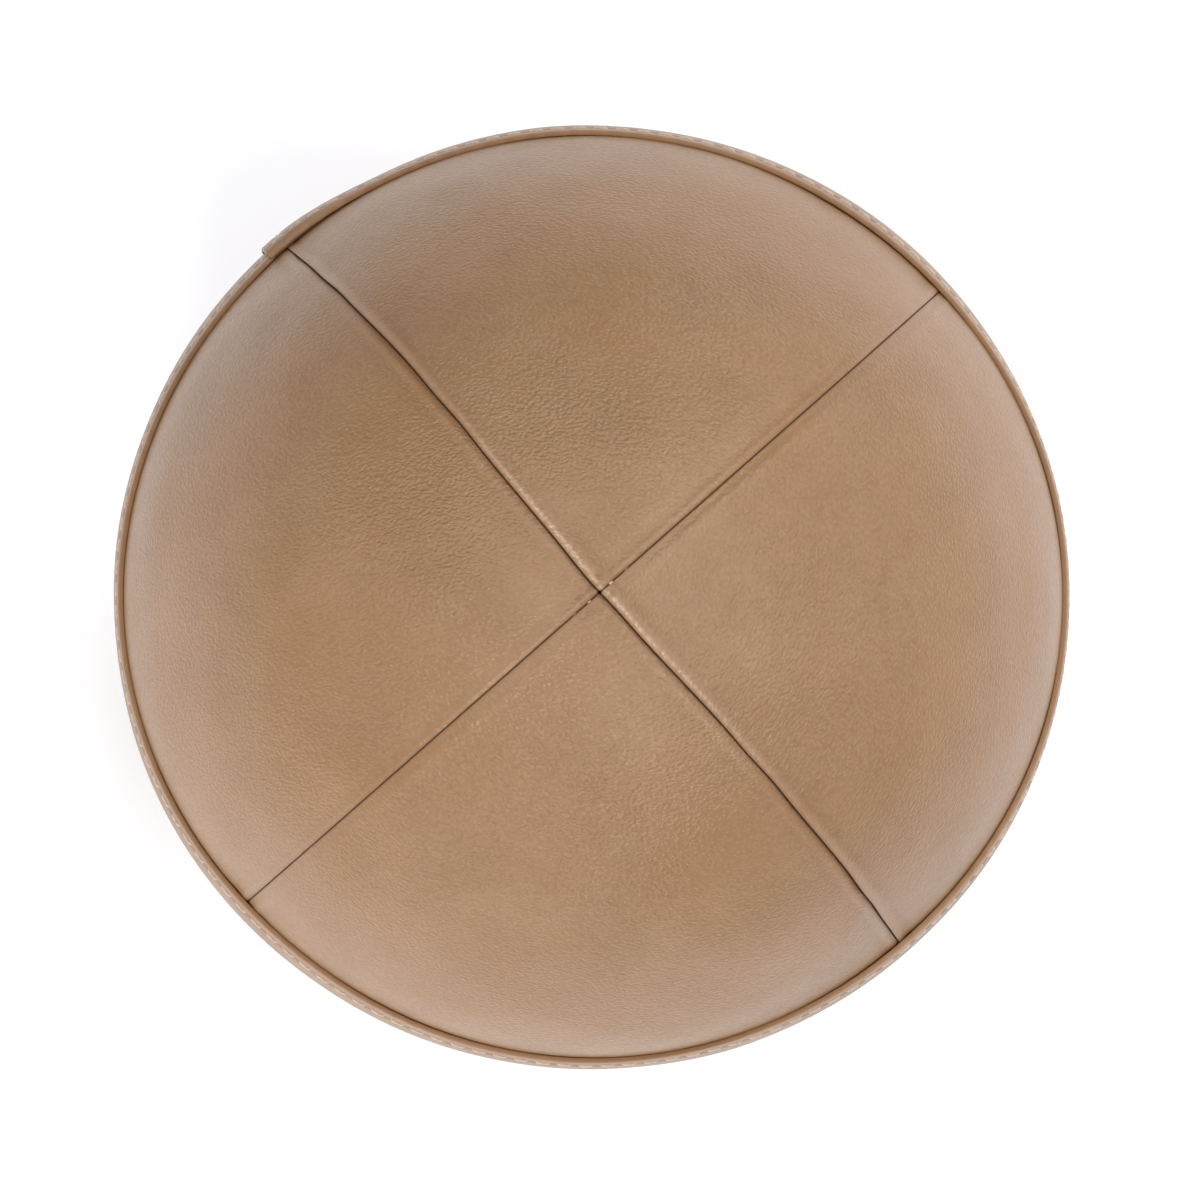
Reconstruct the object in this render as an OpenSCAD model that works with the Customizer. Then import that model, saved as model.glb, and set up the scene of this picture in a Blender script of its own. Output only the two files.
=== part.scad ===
// Leather medicine ball: eight sewn panels, a lapped equator band, padding,
// a filled liner bag and a sand core. Millimetres, +Z up.
// The origin is at the middle of the small flat that the ball rests on.

/* [Ball] */
// Diameter over the equator band
ball_d = 280; // [200:5:360]
// Diameter of the flat that the soft ball settles onto
rest_flat_d = 56; // [30:2:70]
// Thickness of the leather panels
leather_t = 1.6; // [1.2:0.1:2.2]
// Width of the gap that shows as a seam line
seam_gap = 0.3; // [0.2:0.05:0.5]
// Depth of the seam allowance that is turned inwards
flange_h = 8; // [6:0.5:10]

/* [Equator band] */
// Width of the band, from edge to edge
band_w = 64; // [44:2:84]
// Thickness of the band
band_t = 1.6; // [1.2:0.1:2.2]
// Angle about Z of the band's visible end
lap_end = 137; // [130:1:140]
// Angle over which the lapped end climbs onto the end below it
lap_ramp = 18; // [14:1:24]

/* [Stitching] */
// Stitches in one turn of the band's topstitching
stitch_n = 136; // [100:4:180]
// Distance of the topstitching from the band's edge
stitch_inset = 5; // [3:0.5:8]
// Diameter of the topstitching thread
thread_d = 0.9; // [0.6:0.1:1.2]
// Stitch length of the hidden seams
seam_pitch = 6; // [5:0.5:8]

/* [Inside] */
// Thickness of the canvas lining behind each panel
lining_t = 0.8; // [0.5:0.1:1.2]
// Thickness of the foam pad behind each lining
pad_t = 15; // [10:1:20]
// Thickness of the liner bag's canvas
bag_t = 0.8; // [0.5:0.1:1.2]
// Outer diameter of the sand pouch
pouch_d = 92; // [60:2:110]
// Wall thickness of the sand pouch
pouch_t = 1.2; // [0.8:0.1:2]

/* [Hidden] */
SIDES = ["right", "rear", "left", "front"];
$fn = 96;

skin_r = ball_d / 2 - band_t;                        // outer radius of the leather panels
centre_z = sqrt(pow(skin_r, 2) - pow(rest_flat_d / 2, 2)); // height of the ball's centre
big = ball_d;                                        // longer than anything that is cut
ease = 0.2;                                          // clearance between one layer and the next
seam_depth = 3;                                      // depth of the hidden stitch lines
lining_inset = seam_gap / 2 + leather_t + thread_d + 0.3; // from a seam plane to a lining's edge
lining_depth = leather_t + ease;
pad_depth = lining_depth + lining_t + ease;
bag_depth = pad_depth + pad_t + ease;
fill_depth = bag_depth + bag_t + ease;
bag_flange = 8;                                      // the liner bag's seam allowance, turned out
last_seam = 1;                                       // the panel seam that is sewn last, by its number
closing_from = 12;                                   // latitudes below the equator between which
closing_to = 60;                                     // the last seam is closed by hand
neck_d = 22;                                         // the gathered neck of the sand pouch,
neck_h = 16;                                         // its height above the pouch
neck_bore = 5;                                       // and what is left open down its middle
half_gap = 0.05;                                     // from the equator to either half of the bag or filling
first_lat = 4;                                       // latitude of a panel seam's first stitch
last_lat_top = 86;                                   // latitude of its last one, near the upper pole
rung_pitch = 5;                                      // spacing of the hand stitches that close the cover
rung_d = 1;                                          // and their thread
whip_d = 0.8;                                        // thread of the liner bag's whip stitches,
whip_r = 1.5;                                        // the radius of one of them
whip_step = 4;                                       // and the angle from one to the next
lap_row_from_end = 2.4;                              // angle from the band's end to the stitches across it
lap_row_pitch = 6.4;                                 // spacing of those stitches
cord_d = 2;                                          // cord round the pouch's neck
stitch_len = 0.71 * PI * ball_d / stitch_n;          // visible length of one topstitch

LEATHER = "#a98058";
EDGE = "#8c6240";
THREAD = "#d9bd98";
CANVAS = "#d8ccb4";
FOAM = "#e9e4d4";
FIBRE = "#8d8a86";
SAND = "#c8a878";

// ---- shared shapes -------------------------------------------------------

// Everything deeper than depth below the leather's face: a ball, flattened where it rests.
module core(depth) {
    intersection() {
        translate([0, 0, centre_z]) sphere(r = skin_r - depth);
        translate([-big, -big, depth]) cube([2 * big, 2 * big, 2 * big]);
    }
}

// One layer of the ball, from one depth to a greater one.
module layer(outer, inner) {
    difference() {
        core(outer);
        core(inner);
    }
}

// One eighth of space. Quarter 0 is centred on +X and 1 on +Y; inset draws its three faces in.
module octant(half, quarter, inset) {
    translate([0, 0, centre_z])
        mirror([0, 0, half == "top" ? 0 : 1])
            rotate([0, 0, 90 * quarter - 45])
                translate([inset, inset, inset])
                    cube([big, big, big]);
}

// The space between two angles about Z, which may be up to 170 degrees apart.
module sector(from, to) {
    reach = 2 * big;
    translate([0, 0, centre_z - big])
        linear_extrude(2 * big)
            polygon([
                [0, 0],
                for (a = [from, (from + to) / 2, to]) reach * [cos(a), sin(a)]
            ]);
}

// A thread dash that follows a circle about Z, centred on angle at.
module dash(radius, at, length, d = thread_d) {
    sweep = length / radius * 180 / PI;
    rotate([0, 0, at - sweep / 2])
        rotate_extrude(angle = sweep)
            translate([radius, 0]) circle(d = d, $fn = 24);
}

// ---- leather cover -------------------------------------------------------

// One of the eight panels: a face, with a seam allowance turned in along its three edges.
module leather_panel(half, quarter) {
    color(LEATHER)
        difference() {
            intersection() {
                core(0);
                octant(half, quarter, seam_gap / 2);
            }
            core(flange_h);
            intersection() {
                core(leather_t);
                octant(half, quarter, seam_gap / 2 + leather_t);
            }
        }
}

// The canvas that backs one panel, up to its seam allowances.
module canvas_lining(half, quarter) {
    color(CANVAS)
        intersection() {
            layer(lining_depth, lining_depth + lining_t);
            octant(half, quarter, lining_inset);
        }
}

// The foam behind one lining.
module foam_pad(half, quarter) {
    color(FOAM)
        intersection() {
            layer(pad_depth, pad_depth + pad_t);
            octant(half, quarter, lining_inset);
        }
}

// ---- equator band --------------------------------------------------------

// The lapped end is the same ring moved sideways, so that it climbs by one thickness over lap_ramp.
lap_shift = band_t / sin(lap_ramp);
lap_start = lap_end - lap_ramp;
lap_dir = [cos(lap_start + 90), sin(lap_start + 90), 0];
lap_origin = [0, 0, centre_z] + lap_shift * lap_dir;
under_end = lap_end - 0.7 * lap_ramp; // angle of the hidden end, which is skived to a wedge
lap_root = 3;                         // angle over which the lapped end's root is sunk

// The band as a plain ring about a centre.
module band_ring(centre) {
    translate(centre)
        intersection() {
            difference() {
                sphere(r = skin_r + band_t);
                sphere(r = skin_r);
            }
            translate([-big, -big, -band_w / 2]) cube([2 * big, 2 * big, band_w]);
        }
}

// The hidden end of the strip, in the space below the lapped one.
module under_zone() {
    intersection() {
        translate(lap_origin) sphere(r = skin_r - ease);
        sector(under_end, lap_end + 5);
    }
}

// The ring without the stretch that the lapped end takes over.
module lower_ring() {
    difference() {
        band_ring([0, 0, centre_z]);
        difference() {
            sector(lap_start + lap_root, lap_end);
            under_zone();
        }
    }
}

// The lapped end. Its root sinks into the ring, and comes out of its face at lap_start.
module lapped_end() {
    difference() {
        intersection() {
            band_ring(lap_origin);
            sector(lap_start - lap_root, lap_end);
        }
        translate([0, 0, centre_z]) sphere(r = skin_r + ease / 2);
    }
}

module equator_band() {
    color(EDGE) {
        lower_ring();
        lapped_end();
    }
}

// One turn of topstitching. The stitches on the lapped end move out with it.
module band_stitch_row(z) {
    row_r = sqrt(pow(skin_r + band_t, 2) - z * z);
    color(THREAD)
        for (i = [0:stitch_n - 1]) {
            at = lap_end - (i + 0.75) * 360 / stitch_n;
            on_lap = i * 360 / stitch_n < lap_ramp;
            translate([0, 0, centre_z + z] + (on_lap ? lap_shift : 0) * lap_dir)
                dash(row_r, at, stitch_len);
        }
}

// The stitches across the lapped end, from one topstitching row to the other.
module band_stitch_lap() {
    rise = band_w / 2 - stitch_inset;
    count = floor(2 * rise / lap_row_pitch);
    step = 2 * asin(rise / (skin_r + band_t)) / count;
    color(THREAD)
        translate(lap_origin)
            rotate([0, 0, lap_end - lap_row_from_end])
                rotate([90, 0, 0])
                    for (i = [0:count - 1])
                        dash(skin_r + band_t, (i + 0.5 - count / 2) * step, stitch_len);
}

// ---- hidden seams --------------------------------------------------------

face_off = seam_gap / 2 + leather_t + 0.4 * thread_d; // from a seam plane to the thread on a flange
seam_r = skin_r - seam_depth;
seam_step = seam_pitch / seam_r * 180 / PI;

// Whether a latitude lies on the stretch that is closed by hand.
function by_hand(seam, lat) = seam == last_seam && lat > closing_from && lat < closing_to;

// Machine stitches down both faces of one panel seam, from near the equator to a latitude.
module seam_dashes(half, seam, last_lat) {
    for (face = [-1, 1], lat = [first_lat:seam_step:last_lat])
        if (half == "top" || !by_hand(seam, lat))
            translate([0, 0, centre_z])
                mirror([0, 0, half == "top" ? 0 : 1])
                    rotate([0, 0, 45 + 90 * seam])
                        translate([0, face * face_off, 0])
                            rotate([90, 0, 0])
                                dash(seam_r, lat, 0.7 * seam_pitch);
}

// The same stitches where the seams cross the resting flat.
module flat_dashes(seam) {
    for (face = [-1, 1], x = [6:seam_pitch:rest_flat_d / 2 - 3])
        rotate([0, 0, 45 + 90 * seam])
            translate([x, face * face_off, seam_depth])
                rotate([0, 90, 0]) cylinder(d = thread_d, h = 0.7 * seam_pitch, $fn = 24);
}

module panel_seam_thread(half) {
    flat_lat = 90 - asin(rest_flat_d / 2 / skin_r) - 2;
    color(THREAD)
        for (seam = [0:3]) {
            seam_dashes(half, seam, half == "top" ? last_lat_top : flat_lat);
            if (half == "bottom") flat_dashes(seam);
        }
}

// Machine stitches above and below the equator's seam, which the band hides.
module equator_seam_thread() {
    color(THREAD)
        for (face = [-1, 1], seam = [0:3], a = [2.5:seam_step:87])
            translate([0, 0, centre_z + face * face_off])
                dash(seam_r, 45 + 90 * seam + a, 0.7 * seam_pitch);
}

// Hand ladder stitches: rungs from one flange to the other, just under the fold.
module closing_thread() {
    rung = 2 * (leather_t + seam_gap);
    step = rung_pitch / skin_r * 180 / PI;
    color(THREAD)
        translate([0, 0, centre_z])
            rotate([0, 0, 45 + 90 * last_seam])
                for (lat = [closing_from + step:step:closing_to - step])
                    rotate([0, lat, 0])
                        translate([skin_r - leather_t - 0.6, 0, 0])
                            rotate([90, 0, 0]) cylinder(d = rung_d, h = rung, center = true, $fn = 24);
}

// ---- liner bag and filling -----------------------------------------------

bag_r = skin_r - bag_depth;
open_half = 24; // half the angle of the liner bag's filling opening

// One half of the liner bag, with its seam allowance turned outwards at the equator.
module liner_bag(half) {
    side = half == "top" ? 0 : 1;
    color(CANVAS)
        intersection() {
            union() {
                layer(bag_depth, bag_depth + bag_t);
                translate([0, 0, centre_z])
                    mirror([0, 0, side])
                        difference() {
                            cylinder(r = bag_r + bag_flange, h = bag_t + half_gap);
                            translate([0, 0, -1]) cylinder(r = bag_r - bag_t / 2, h = bag_t + 3);
                        }
            }
            translate([-big, -big, centre_z])
                mirror([0, 0, side])
                    translate([0, 0, half_gap]) cube([2 * big, 2 * big, 2 * big]);
        }
}

// The bag's machine seam, on both faces of its seam allowance, up to the opening.
module liner_seam_thread() {
    row_r = bag_r + bag_flange / 2;
    step = seam_pitch / row_r * 180 / PI;
    color(THREAD)
        for (face = [-1, 1], a = [open_half:step:360 - open_half])
            translate([0, 0, centre_z + face * (bag_t + half_gap + 0.4 * thread_d)])
                dash(row_r, a, 0.7 * seam_pitch);
}

// Whip stitches round the seam allowance's edge, closing the filling opening.
module liner_closing_thread() {
    color(THREAD)
        translate([0, 0, centre_z])
            for (a = [-open_half + 2:whip_step:open_half - 2])
                rotate([0, 0, a])
                    translate([bag_r + bag_flange - 0.6, 0, 0])
                        rotate([90, 0, 0])
                            rotate_extrude() translate([whip_r, 0]) circle(d = whip_d, $fn = 24);
}

// The sand pouch as a solid of revolution, drawn in by inset; its neck points up.
module pouch_form(inset) {
    translate([0, 0, centre_z]) {
        sphere(d = pouch_d - 2 * inset);
        cylinder(d = neck_d - 2 * inset, h = pouch_d / 2 + neck_h);
    }
}

// Packed textile fibre, in two halves round the pouch.
module fibre_fill(half) {
    side = half == "top" ? 0 : 1;
    color(FIBRE)
        difference() {
            intersection() {
                core(fill_depth);
                translate([-big, -big, centre_z])
                    mirror([0, 0, side])
                        translate([0, 0, half_gap]) cube([2 * big, 2 * big, 2 * big]);
            }
            pouch_form(-ease);
            translate([0, 0, centre_z]) cylinder(d = neck_d + 8, h = pouch_d / 2 + neck_h + 2);
        }
}

module ballast_pouch() {
    color(CANVAS)
        difference() {
            pouch_form(0);
            translate([0, 0, centre_z]) sphere(d = pouch_d - 2 * pouch_t);
            translate([0, 0, centre_z])
                cylinder(d = neck_bore, h = pouch_d / 2 + neck_h + 1);
        }
}

// The sand fills the pouch to just below its neck.
module ballast_sand() {
    level = 0.42 * pouch_d;
    color(SAND)
        translate([0, 0, centre_z])
            intersection() {
                sphere(d = pouch_d - 2 * pouch_t - 0.2);
                translate([-big, -big, -big]) cube([2 * big, 2 * big, big + level]);
            }
}

// Two turns of cord round the pouch's neck.
module ballast_tie() {
    color(THREAD)
        for (turn = [0, 1])
            translate([0, 0, centre_z + pouch_d / 2 + 0.45 * neck_h + turn * cord_d])
                rotate_extrude() translate([(neck_d + cord_d) / 2, 0]) circle(d = cord_d, $fn = 24);
}

// ---- the nodes -----------------------------------------------------------

leather_panel("top", 0);  // leather_panel_top_right
leather_panel("top", 1);  // leather_panel_top_rear
leather_panel("top", 2);  // leather_panel_top_left
leather_panel("top", 3);  // leather_panel_top_front
leather_panel("bottom", 0);  // leather_panel_bottom_right
leather_panel("bottom", 1);  // leather_panel_bottom_rear
leather_panel("bottom", 2);  // leather_panel_bottom_left
leather_panel("bottom", 3);  // leather_panel_bottom_front
canvas_lining("top", 0);  // canvas_lining_top_right
canvas_lining("top", 1);  // canvas_lining_top_rear
canvas_lining("top", 2);  // canvas_lining_top_left
canvas_lining("top", 3);  // canvas_lining_top_front
canvas_lining("bottom", 0);  // canvas_lining_bottom_right
canvas_lining("bottom", 1);  // canvas_lining_bottom_rear
canvas_lining("bottom", 2);  // canvas_lining_bottom_left
canvas_lining("bottom", 3);  // canvas_lining_bottom_front
foam_pad("top", 0);  // foam_pad_top_right
foam_pad("top", 1);  // foam_pad_top_rear
foam_pad("top", 2);  // foam_pad_top_left
foam_pad("top", 3);  // foam_pad_top_front
foam_pad("bottom", 0);  // foam_pad_bottom_right
foam_pad("bottom", 1);  // foam_pad_bottom_rear
foam_pad("bottom", 2);  // foam_pad_bottom_left
foam_pad("bottom", 3);  // foam_pad_bottom_front
equator_band();
band_stitch_row(band_w / 2 - stitch_inset);  // band_stitch_upper
band_stitch_row(stitch_inset - band_w / 2);  // band_stitch_lower
band_stitch_lap();
panel_seam_thread("top");  // panel_seam_thread_top
panel_seam_thread("bottom");  // panel_seam_thread_bottom
equator_seam_thread();
closing_thread();
liner_bag("top");  // liner_bag_upper
liner_bag("bottom");  // liner_bag_lower
liner_seam_thread();
liner_closing_thread();
fibre_fill("top");  // fibre_fill_upper
fibre_fill("bottom");  // fibre_fill_lower
ballast_pouch();
ballast_sand();
ballast_tie();
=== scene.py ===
"""A leather medicine ball seen from above: sewn panels, a lapped equator band, and all that is inside.

Lengths are in metres unless a name or comment says millimetres. A direction is a unit vector from the
ball's centre, and a surface is a distance from the centre in each direction.
"""
import math

import bpy
import numpy as np
from mathutils import Matrix, Vector
from mathutils.kdtree import KDTree


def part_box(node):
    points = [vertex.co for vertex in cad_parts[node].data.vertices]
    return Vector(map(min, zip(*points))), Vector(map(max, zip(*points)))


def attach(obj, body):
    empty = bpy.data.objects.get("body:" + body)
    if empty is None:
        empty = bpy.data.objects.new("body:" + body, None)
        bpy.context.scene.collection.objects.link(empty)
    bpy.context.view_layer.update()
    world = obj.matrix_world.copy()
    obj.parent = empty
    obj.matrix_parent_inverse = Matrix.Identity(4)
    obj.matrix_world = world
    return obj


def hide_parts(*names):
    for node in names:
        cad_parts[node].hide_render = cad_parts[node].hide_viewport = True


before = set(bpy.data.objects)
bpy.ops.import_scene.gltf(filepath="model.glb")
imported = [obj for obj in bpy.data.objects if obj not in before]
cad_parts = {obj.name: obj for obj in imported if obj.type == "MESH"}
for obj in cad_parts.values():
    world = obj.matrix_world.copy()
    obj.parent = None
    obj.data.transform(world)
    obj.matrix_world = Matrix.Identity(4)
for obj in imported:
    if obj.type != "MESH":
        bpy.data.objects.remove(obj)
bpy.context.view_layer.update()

MM = 0.001
TAU = 2 * math.pi

# ---- sizes and places, from the frame ----

HALVES = {"top": 1, "bottom": -1}
QUARTERS = ["right", "rear", "left", "front"]  # centred on +X, +Y, -X and -Y
band_low, band_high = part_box("equator_band")
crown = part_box("leather_panel_top_rear")[1]
CENTRE = np.array([0, 0, (band_low.z + band_high.z) / 2])
SKIN_R = crown.z - CENTRE[2]  # outer radius of the leather panels
BAND_HALF = (band_high.z - band_low.z) / 2  # half the band's width

LEATHER_T = 1.5 * MM
BAND_T = 1.6 * MM
SEAM_GAP = 0.03 * MM  # half the gap between two panels
FLANGE = 8 * MM  # seam allowance, turned inwards
LINING_IN, LINING_T = 2.9 * MM, 0.7 * MM  # inset and thickness of the canvas linings
LINING_DEPTH = 1.9 * MM
PAD_DEPTH, PAD_T = 2.9 * MM, 14.7 * MM
BAG_DEPTH = 18.0 * MM
BAG_T = 0.8 * MM
FILL_DEPTH = BAG_DEPTH + BAG_T + 0.3 * MM

LAP_END = 137.0  # azimuth of the band's visible end, in degrees
LAP_RAMP = 15.0  # over which it climbs onto the end below
LAP_OVER = 13.0  # how far the hidden end runs under it
EDGE_WAVES = [(-0.1, -0.8), (-3.5, 1.4), (-1.0, -0.4), (-3.0, -1.5)]  # of the band's edge, in mm
STITCHES = 136
STITCH_INSET = 5 * MM
THREAD_D = 1.0 * MM
ROW_SUNK, LAP_ROW_SUNK = 0.34 * MM, 0.62 * MM  # how deep the stitches are drawn into the band
LAP_ROW_FROM_END = 2.3  # in degrees

CAMERA_ROLL = 3.6  # azimuth that lies to the picture's right
CAMERA_DISTANCE = 1.96
CAMERA_LENS = 199
CAMERA_TILT, TILT_TOWARDS = 1.12, 214.8  # off the vertical, and towards which side of the picture
AIM_RIGHT, AIM_DOWN = 2.42 * MM, 0.68 * MM  # where the camera looks, off the ball's centre
OVAL = 0.0063  # the ball is a little wider along the azimuth CAMERA_ROLL


# ---- directions and smooth noise ----

def unit(v):
    return v / np.linalg.norm(v, axis=-1, keepdims=True)


def heading(degrees):
    a = math.radians(degrees)
    return np.array([math.cos(a), math.sin(a), 0.0])


def circle(count):
    """Angles round a circle, evenly spaced."""
    return np.linspace(0, TAU, count, endpoint=False)


def azimuth(d):
    return np.degrees(np.arctan2(d[..., 1], d[..., 0]))


def smooth(x):
    x = np.clip(x, 0, 1)
    return x * x * (3 - 2 * x)


def waves(points, length, seed, count=14):
    """Smooth noise of about unit size: plane waves of random headings, a length apart."""
    rng = np.random.default_rng(seed)
    total = 0
    for _ in range(count):
        k = unit(rng.normal(size=3)) * TAU / (length * rng.uniform(0.7, 1.5))
        total = total + np.sin(points @ k + rng.uniform(0, TAU))
    return total / math.sqrt(count / 2)


# ---- the ball's outer shape ----

MAIN_SEAM = heading(45)  # normal of the seam plane that runs from the left rear to the right front
CROSS_SEAM = heading(135)  # normal of the other one
UP = np.array([0.0, 0, 1])
SWELL = None  # set once the cover has been simulated
SWELL_FRAMES = 16
SWELL_SHARE = 0.35  # how much of the simulated swelling the stuffed leather keeps
PITCH = 3.4  # of the seams' puckers, in mm
# each side of a seam: its lip and its trough as (height, distance, width), and its turn's radius, in mm
MAIN_SIDES = [((1.45, -0.4, 1.8), (0.45, 3.5, 1.5), 0.32), ((0.40, 2.2, 1.2), (0.26, 4.5, 1.2), 0.60)]
CROSS_SIDES = [((0.42, 1.6, 1.2), (0.20, 4.6, 1.8), 0.45), ((0.46, 3.5, 1.9), (0.17, 1.9, 1.5), 0.5)]


def plane_distance(d, normal):
    """Distance along the face from a plane through the centre, in mm."""
    return SKIN_R / MM * np.arcsin(np.clip(d @ normal, -1, 1))


def along_seam(d, normal):
    """Distance along the face from the pole, beside the seam with that normal, in mm."""
    return SKIN_R / MM * np.arctan2(d @ np.cross(normal, UP), np.abs(d @ UP))


def pole_distance(d):
    """Distance along the face from the nearer pole, in mm."""
    return SKIN_R / MM * np.arccos(np.clip(np.abs(d[..., 2]), -1, 1))


def bow(d):
    """Moves directions sideways so that the main seam bows, as the last one sewn does."""
    out = np.linalg.norm(d[..., :2], axis=-1)  # 0 at the pole, 1 at the equator
    on_left = d @ CROSS_SEAM > 0
    reach = np.where(on_left, 2.7 * np.sin(math.pi * out ** 1.5), 1.6 * np.sin(math.pi * out ** 1.2))
    near = np.exp(-(plane_distance(d, MAIN_SEAM) / 45) ** 2)
    along = along_seam(d, MAIN_SEAM)
    wander = 0.12 * np.sin(along / 5.5 + 0.9 * np.sin(along / 11)) * smooth((1 - out) / 0.2)
    push = (reach + wander) * near * MM / SKIN_R
    return unit(d + push[..., None] * MAIN_SEAM)


def bell(x, middle, width):
    return np.exp(-((x - middle) / width) ** 2)


def seam_relief(d):
    """What the seams add to the leather's face, in mm: a lip, a trough behind it, and puckers."""
    total = np.zeros(d.shape[:-1])
    for normal, sides, pucker in ((MAIN_SEAM, MAIN_SIDES, 0.09), (CROSS_SEAM, CROSS_SIDES, 0.03)):
        s = plane_distance(d, normal)
        along = along_seam(d, normal)
        for sign, side in ((1, sides[0]), (-1, sides[1])):
            (lip, lip_at, lip_wide), (dip, dip_at, dip_wide), _ = side
            uneven = 1 + 0.25 * np.sin(along / 17 + sign) + 0.15 * np.sin(along / 7.3 + 2 * sign)
            shape = lip * uneven * bell(sign * s, lip_at, lip_wide) - dip * bell(sign * s, dip_at, dip_wide)
            total += np.where(sign * s > 0, shape, 0)
        ripple = np.sin(TAU * along / PITCH + 1.3 * np.sign(s) + 0.8 * np.sin(along / 9))
        total += pucker * ripple * bell(np.abs(s), 1.8, 1.6) * np.exp(-(along / 45) ** 2)
    return total


def under_band(d):
    """1 where the band presses the leather, 0 clear of it."""
    return smooth((BAND_HALF / MM + 15 - np.abs(plane_distance(d, UP))) / 17)


def valleys(d):
    """How far the leather is drawn in towards each seam, in mm."""
    main = 1.1 * np.exp(-np.abs(plane_distance(d, MAIN_SEAM)) / 11)
    cross = 0.8 * np.exp(-np.abs(plane_distance(d, CROSS_SEAM)) / 10)
    return main + cross


def lumps(d):
    """The stuffing's unevenness, in mm."""
    p = d * SKIN_R
    return 0.30 * waves(p, 75 * MM, 3) + 0.07 * waves(p, 22 * MM, 4)


def round_radius(d):
    """The ball without its seams: slightly oval, and flat where it rests."""
    level = 1 - d[..., 2] ** 2
    return SKIN_R * (1 + OVAL * level * np.cos(np.radians(2 * (azimuth(d) - CAMERA_ROLL))))


def settle(radius, d, depth=0.0):
    """Flattens a surface onto the floor, with a soft shoulder."""
    shoulder = 0.7 * MM
    floor = np.where(d[..., 2] < -0.3, CENTRE[2] / np.maximum(-d[..., 2], 0.3), 1.0)
    low = np.minimum(radius, floor)
    blend = np.exp(-np.abs(radius - floor) / shoulder)
    return low - shoulder * np.log1p(blend) - depth


def skin_radius(d, detail=True):
    """The leather's face. Inner layers leave the seams' detail out and follow the rest."""
    pressed = under_band(d)
    shape = (lumps(d) + puff(d)) * (1 - pressed) - valleys(d) * (1 - 0.75 * pressed) - 0.05 * pressed
    if detail:
        shape = shape + seam_relief(d) * (1 - 0.8 * pressed)
    return settle(round_radius(d) + shape * MM, d)


def puff(d):
    """How far the stuffing swells the leather between its seams, in mm, from the simulated cover."""
    if SWELL is None:
        return 0.6 * (1 - np.exp(-seam_distance(d) / 14))
    rows, columns = SWELL.shape
    v = (np.degrees(np.arcsin(np.clip(d[..., 2], -1, 1))) + 90) / 180 * (rows - 1)
    u = (azimuth(d) % 360) / 360 * columns
    v0 = np.clip(np.floor(v).astype(int), 0, rows - 2)
    u0 = np.floor(u).astype(int)
    fv, fu = v - v0, u - u0
    u0, u1 = u0 % columns, (u0 + 1) % columns
    low = SWELL[v0, u0] * (1 - fu) + SWELL[v0, u1] * fu
    high = SWELL[v0 + 1, u0] * (1 - fu) + SWELL[v0 + 1, u1] * fu
    return low * (1 - fv) + high * fv


def seam_distance(d):
    return np.minimum.reduce([np.abs(plane_distance(d, n)) for n in (MAIN_SEAM, CROSS_SEAM, UP)])


def blurred(grid, reach):
    """A latitude and longitude grid, smoothed over a few cells each way."""
    weights = np.exp(-(np.arange(-2 * reach, 2 * reach + 1) / reach) ** 2)
    weights /= weights.sum()
    around = sum(w * np.roll(grid, k - 2 * reach, axis=1) for k, w in enumerate(weights))
    padded = np.pad(around, ((2 * reach, 2 * reach), (0, 0)), mode="edge")
    return sum(w * padded[k:k + grid.shape[0]] for k, w in enumerate(weights))


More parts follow.
